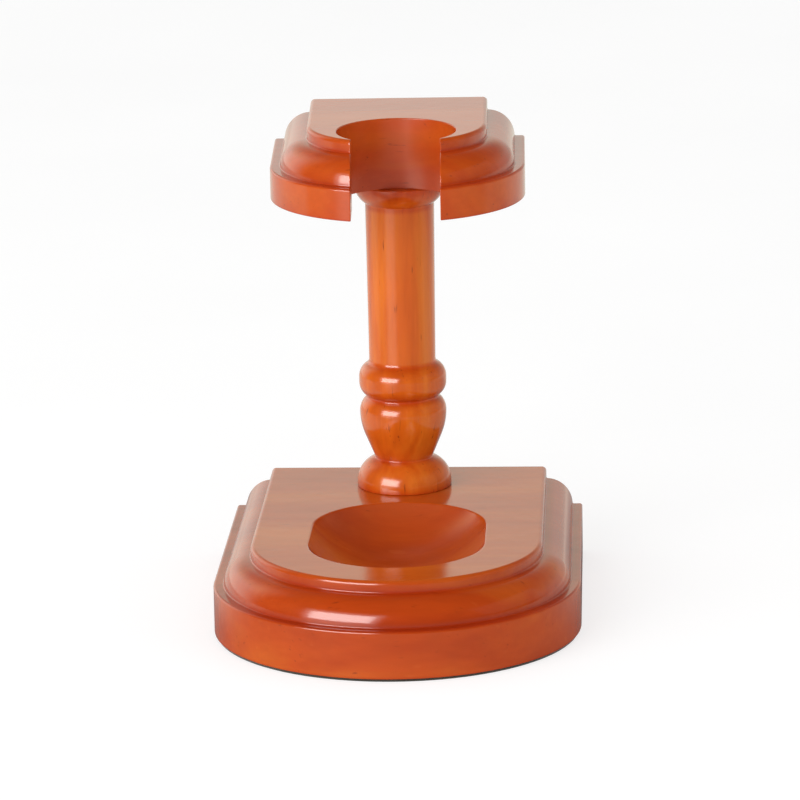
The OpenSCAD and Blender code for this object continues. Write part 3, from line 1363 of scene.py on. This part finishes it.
@dataclass
class Studio:
    """Glowing pale floor, white surroundings, soft lights and the camera."""

    floor_size: float = 9.0
    floor_glow: float = 0.685
    floor_bounce: float = 0.72
    floor_sheen: float = 0.65
    floor_beside: tuple[float, float] = (0.62, 0.28)
    floor_pool: float = 1.25
    light_aim: float = 60.0 * MM
    softbox_turn: float = -36.0
    reflector_turn: float = 78.0
    mirrored_tint: tuple[float, float, float, float] = (1.0, 1.01, 0.84, 1.0)
    sky_bounce: float = 0.72
    sky_glow: float = 0.977
    sky_by_height: tuple[tuple[float, tuple[float, float, float, float]], ...] = (
        (0.20, (1.12, 1.17, 1.04, 1.0)),
        (0.28, (0.94, 1.00, 0.80, 1.0)),
        (0.45, (0.50, 0.52, 0.45, 1.0)),
        (0.68, grey(0.10)),
        (0.85, grey(0.03)),
    )
    camera_at: tuple[float, float, float] = (0.06744, -1.56692, 0.46267)
    yaw: float = 2.426
    pitch: float = -14.374
    roll: float = -1.056
    lens: float = 267.53

    @staticmethod
    def way_to(azimuth: float, elevation: float) -> Vector:
        """Direction at an azimuth to the right of the front and an elevation, in degrees."""
        turn, lift = math.radians(azimuth), math.radians(elevation)
        return Vector((math.sin(turn) * math.cos(lift), -math.cos(turn) * math.cos(lift), math.sin(lift)))

    def mirrored_floor(self, bench: NodeBench, place: bpy.types.NodeSocket) -> bpy.types.NodeSocket:
        """How bright the floor shows in the lacquer, by its distance in metres from the stand's middle.

        Args:
            bench: Bench of the floor's material.
            place: The floor's coordinates.

        Returns:
            Socket of a brightness that grows behind and beside the stand, and towards the softbox.
        """
        across, back, _ = bench.parts(place)
        behind = bench.fade(back, 0.03, 0.36, 0.0, self.floor_sheen)
        left = bench.fade(across, -0.085, -0.052, self.floor_beside[0], 0.0)
        right = bench.fade(across, 0.052, 0.085, 0.0, self.floor_beside[1])
        beside = bench.reckon("ADD", left, right)
        beside = bench.reckon("MULTIPLY", beside, bench.fade(back, -0.05, 0.01, 0.0, 1.0))
        outwards = bench.vector("NORMALIZE", place)["Vector"]
        to_softbox = tuple(self.way_to(self.softbox_turn, 0.0))
        facing = bench.vector("DOT_PRODUCT", outwards, to_softbox)["Value"]
        reach = bench.vector("LENGTH", place)["Value"]
        pool = bench.reckon(
            "MULTIPLY",
            bench.fade(facing, 0.92, 0.99, 0.0, self.floor_pool),
            bench.fade(reach, 0.06, 0.32, 0.0, 1.0),
        )
        return bench.reckon("ADD", bench.reckon("MAXIMUM", behind, beside), pool)

    def floor(self) -> bpy.types.Object:
        """Lays the pale floor, which glows: evenly to the camera, as bounce light onto the stand, and in the
        lacquer as a painted reflection of a lit floor, with a pool of light towards the softbox.

        Returns:
            The floor.
        """
        mesh = bmesh.new()
        bmesh.ops.create_grid(mesh, x_segments=2, y_segments=2, size=self.floor_size / 2.0)
        material, bench = new_bench("glowing_floor")
        place = bench.place()
        rays = bench.put("ShaderNodeLightPath").outputs
        glow = bench.reckon("MULTIPLY", rays["Is Camera Ray"], self.floor_glow)
        bounce = bench.reckon("MULTIPLY", rays["Is Diffuse Ray"], self.floor_bounce)
        mirrored = bench.reckon("MULTIPLY", rays["Is Glossy Ray"], self.mirrored_floor(bench, place))
        tint = bench.tint("MIX", rays["Is Glossy Ray"], grey(1.0), self.mirrored_tint)
        bench.finish_surface({
            "Base Color": bench.ramp(bench.cloud(place, 6.0), ((0.3, grey(0.34)), (0.7, grey(0.36)))),
            "Roughness": 0.8,
            "Specular IOR Level": 0.1,
            "Emission Color": tint,
            "Emission Strength": bench.reckon("ADD", glow, bench.reckon("ADD", bounce, mirrored)),
        })
        piece = to_object(mesh, "studio_floor", material)
        return piece

    def surroundings(self) -> None:
        """White surroundings, brightest behind the stand and dark behind the camera."""
        world = bpy.data.worlds.new("studio_surroundings")
        bpy.context.scene.world = world
        world.use_nodes = True
        bench = NodeBench(world.node_tree)
        across, ahead, above = bench.parts(bench.put("ShaderNodeTexCoord").outputs["Generated"])
        lift = bench.fade(across, -0.80, -0.30, 0.45, 1.0)
        tones = bench.ramp(bench.reckon("MULTIPLY", above, lift), self.sky_by_height)
        depth = bench.fade(ahead, 0.15, 0.60, 0.05, 1.0)
        side = bench.reckon(
            "MULTIPLY",
            bench.fade(across, -0.10, 0.40, 1.0, 0.6),
            bench.fade(across, -0.60, -0.28, 1.5, 1.0),
        )
        rays = bench.put("ShaderNodeLightPath").outputs
        mirrored = bench.reckon("MULTIPLY", bench.reckon("MULTIPLY", depth, side), rays["Is Glossy Ray"])
        bounce = bench.reckon("MULTIPLY", rays["Is Diffuse Ray"], self.sky_bounce)
        seen = bench.reckon("MULTIPLY", rays["Is Camera Ray"], self.sky_glow)
        level = bench.reckon("MAXIMUM", bench.reckon("ADD", bounce, mirrored), seen)
        colour = bench.tint("MIX", rays["Is Glossy Ray"], grey(1.0), tones)
        glow = bench.put("ShaderNodeBackground", {"Color": colour, "Strength": level})
        bench.put("ShaderNodeOutputWorld", {"Surface": glow.outputs[0]})

    def soft_light(
        self, name: str, azimuth: float, elevation: float, distance: float, size: tuple[float, float],
        radiance: float, use: LightUse,
    ) -> bpy.types.Object:
        """Adds a soft light that faces the stand.

        Args:
            name: Name of the light.
            azimuth: Degrees to the right of the front, seen from the camera.
            elevation: Degrees above the floor.
            distance: Distance from the stand.
            size: Width and height.
            radiance: Brightness of its face.
            use: Whether it lights the stand or shows as a reflection.

        Returns:
            The light.
        """
        light = bpy.data.lights.new(name, "AREA")
        light.shape = "RECTANGLE"
        light.size, light.size_y = size
        light.energy = radiance * size[0] * size[1] * math.pi
        lamp = bpy.data.objects.new(name, light)
        way = self.way_to(azimuth, elevation)
        lamp.location = Vector((0.0, 0.0, self.light_aim)) + way * distance
        lamp.rotation_euler = way.to_track_quat("Z", "Y").to_euler()
        lamp.visible_camera = False
        lamp.visible_glossy = use is LightUse.MIRRORED_ONLY
        lamp.visible_diffuse = use is LightUse.LIT_ONLY
        bpy.context.scene.collection.objects.link(lamp)
        return lamp

    def camera(self) -> bpy.types.Object:
        """Sets up the camera.

        Returns:
            The camera.
        """
        yaw, roll = math.radians(self.yaw), math.radians(self.roll)
        ahead = -self.way_to(self.yaw, -self.pitch)
        level = Vector((math.cos(yaw), math.sin(yaw), 0.0))
        above = level.cross(ahead)
        right = level * math.cos(roll) + above * math.sin(roll)
        up = above * math.cos(roll) - level * math.sin(roll)
        lens = bpy.data.cameras.new("studio_camera")
        lens.lens = self.lens
        lens.sensor_width = 36.0
        lens.clip_end = 30.0
        camera = bpy.data.objects.new("studio_camera", lens)
        turn = Matrix((right, up, -ahead)).transposed().to_4x4()
        camera.matrix_world = Matrix.Translation(self.camera_at) @ turn
        bpy.context.scene.collection.objects.link(camera)
        bpy.context.scene.camera = camera
        return camera

    def build(self) -> None:
        """Sets up the camera, the floor, the surroundings and each light."""
        self.camera()
        self.floor()
        self.surroundings()
        left, right = self.softbox_turn, self.reflector_turn
        lit, mirrored = LightUse.LIT_ONLY, LightUse.MIRRORED_ONLY
        self.soft_light("left_softbox", left, 18.5, 1.3, (1.05, 0.90), 4.2, lit)
        self.soft_light("left_softbox_edge", left, 19.0, 1.3, (1.25, 1.0), 1.6, mirrored)
        self.soft_light("left_softbox_core", left, 18.5, 1.25, (0.95, 0.62), 10.0, mirrored)
        self.soft_light("right_wall", right, 20.0, 1.4, (2.2, 1.3), 0.20, lit)
        self.soft_light("right_reflector", right, 20.0, 1.4, (2.2, 1.3), 0.36, mirrored)
        self.soft_light("right_reflector_core", right + 8.0, 20.0, 1.35, (1.4, 0.8), 0.2, mirrored)
        bpy.context.scene.view_settings.view_transform = "Standard"


def main() -> None:
    """Builds the stand and its studio."""
    logging.basicConfig(level=logging.INFO, format="%(message)s")
    Studio().build()
    pieces = [
        FeltPad().build(),
        BaseBoard("base_block", band_h=13.1 * MM).build(),
        Column().build(),
        TopPlate("top_plate", band_h=8.9 * MM, turn_steps=40, side_steps=4, side_draw=0.0).build(),
        *Fixings().build(),
    ]
    for piece in pieces:
        LOG.info("%s: %d faces", piece.name, len(piece.data.polygons))


if __name__ == "__main__":
    main()
